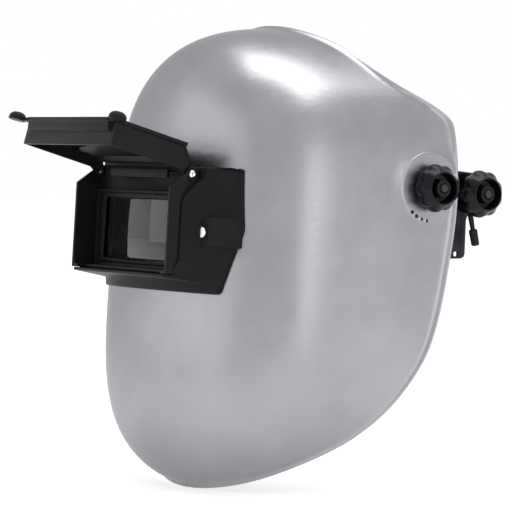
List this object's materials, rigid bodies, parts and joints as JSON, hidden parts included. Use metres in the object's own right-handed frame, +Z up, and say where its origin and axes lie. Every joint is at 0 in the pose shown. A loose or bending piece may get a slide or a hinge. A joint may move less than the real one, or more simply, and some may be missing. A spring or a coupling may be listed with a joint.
{
  "type": "welding helmet",
  "caption": "Lift-front welding helmet: silver full-face shell, black box lens holder with a flip-up lid, and hard-hat blades on lobed friction knobs.",
  "frame": {"origin": "middle of the axis through the two shell pivots, between the wearer's temples", "axes": "+Z up, -Y the way the wearer looks, +X the wearer's left"},
  "size_m": [0.2706, 0.2944, 0.3323],
  "materials": {
    "silver_coat": "moulded shell with a satin silver heat-reflecting coat",
    "black_plastic": "black moulded nylon, fine matte grain",
    "black_blade": "smooth black moulded blade",
    "rubber": "matte black rubber and fibre",
    "steel": "bright zinc-plated steel",
    "clear_glass": "clear cover plate",
    "dark_filter": "very dark green welding filter"
  },
  "bodies": {
    "helmet": {"shell": "silver_coat", "holder_bezel": "black_plastic", "lens_housing": "black_plastic", "cover_lens": "clear_glass", "lens_gasket": "rubber", "lens_retainer": "black_plastic", "holder_screw_left": "steel", "holder_screw_right": "steel", "holder_nut_left": "steel", "holder_nut_right": "steel", "hinge_pin_left": "steel", "hinge_pin_right": "steel", "pivot_washer_left": "steel", "pivot_washer_right": "steel", "stop_washer_left": "black_plastic", "stop_washer_right": "black_plastic", "stop_peg_left": "black_plastic", "stop_peg_right": "black_plastic"},
    "lid": {"lift_lid": "black_plastic", "lid_cover_plate": "clear_glass", "filter_lens": "dark_filter", "lid_lens_gasket": "rubber", "lid_lens_clip": "black_plastic"},
    "left_link": {"mount_link_left": "black_plastic", "friction_washer_left": "rubber", "blade_washer_left": "rubber", "pivot_bolt_left": "steel", "blade_bolt_left": "steel"},
    "left_blade": {"blade_left": "black_blade"},
    "left_pivot_knob": {"pivot_knob_left": "black_plastic"},
    "left_blade_knob": {"blade_knob_left": "black_plastic"},
    "left_lever": {"lever_left": "black_plastic", "lever_grip_left": "rubber"},
    "right_link": {"mount_link_right": "black_plastic", "friction_washer_right": "rubber", "blade_washer_right": "rubber", "pivot_bolt_right": "steel", "blade_bolt_right": "steel"},
    "right_blade": {"blade_right": "black_blade"},
    "right_pivot_knob": {"pivot_knob_right": "black_plastic"},
    "right_blade_knob": {"blade_knob_right": "black_plastic"},
    "right_lever": {"lever_right": "black_plastic", "lever_grip_right": "rubber"}
  },
  "joints": [
    {"name": "lid_hinge", "type": "hinge", "parent": "helmet", "child": "lid", "pos_m": [0, -0.16602, 0.0106], "axis": [1, 0, 0], "range_deg": [0, 103]},
    {"name": "left_link_adjust", "type": "hinge", "parent": "helmet", "child": "left_link", "pos_m": [0.1081, 0, 0], "axis": [1, 0, 0], "range_deg": [-11.5, 11.5]},
    {"name": "left_tilt", "type": "hinge", "parent": "left_link", "child": "left_blade", "pos_m": [0.1027, 0.0424, -0.0048], "axis": [1, 0, 0], "range_deg": [-10, 80]},
    {"name": "left_pivot_knob_turn", "type": "hinge", "parent": "left_link", "child": "left_pivot_knob", "pos_m": [0.1275, 0, 0], "axis": [1, 0, 0], "range_deg": [-180, 180]},
    {"name": "left_blade_knob_turn", "type": "hinge", "parent": "left_link", "child": "left_blade_knob", "pos_m": [0.123, 0.0424, -0.0048], "axis": [1, 0, 0], "range_deg": [-180, 180]},
    {"name": "left_lever_swing", "type": "hinge", "parent": "left_link", "child": "left_lever", "pos_m": [0.1135, 0.0424, -0.0048], "axis": [1, 0, 0], "range_deg": [-15, 40]},
    {"name": "right_link_adjust", "type": "hinge", "parent": "helmet", "child": "right_link", "pos_m": [-0.1081, 0, 0], "axis": [1, 0, 0], "range_deg": [-11.5, 11.5]},
    {"name": "right_tilt", "type": "hinge", "parent": "right_link", "child": "right_blade", "pos_m": [-0.1027, 0.0424, -0.0048], "axis": [1, 0, 0], "range_deg": [-10, 80]},
    {"name": "right_pivot_knob_turn", "type": "hinge", "parent": "right_link", "child": "right_pivot_knob", "pos_m": [-0.1275, 0, 0], "axis": [1, 0, 0], "range_deg": [-180, 180]},
    {"name": "right_blade_knob_turn", "type": "hinge", "parent": "right_link", "child": "right_blade_knob", "pos_m": [-0.123, 0.0424, -0.0048], "axis": [1, 0, 0], "range_deg": [-180, 180]},
    {"name": "right_lever_swing", "type": "hinge", "parent": "right_link", "child": "right_lever", "pos_m": [-0.1135, 0.0424, -0.0048], "axis": [1, 0, 0], "range_deg": [-15, 40]}
  ],
  "couplings": [
    {"joint": "right_tilt", "follows": "left_tilt", "ratio": 1}
  ]
}
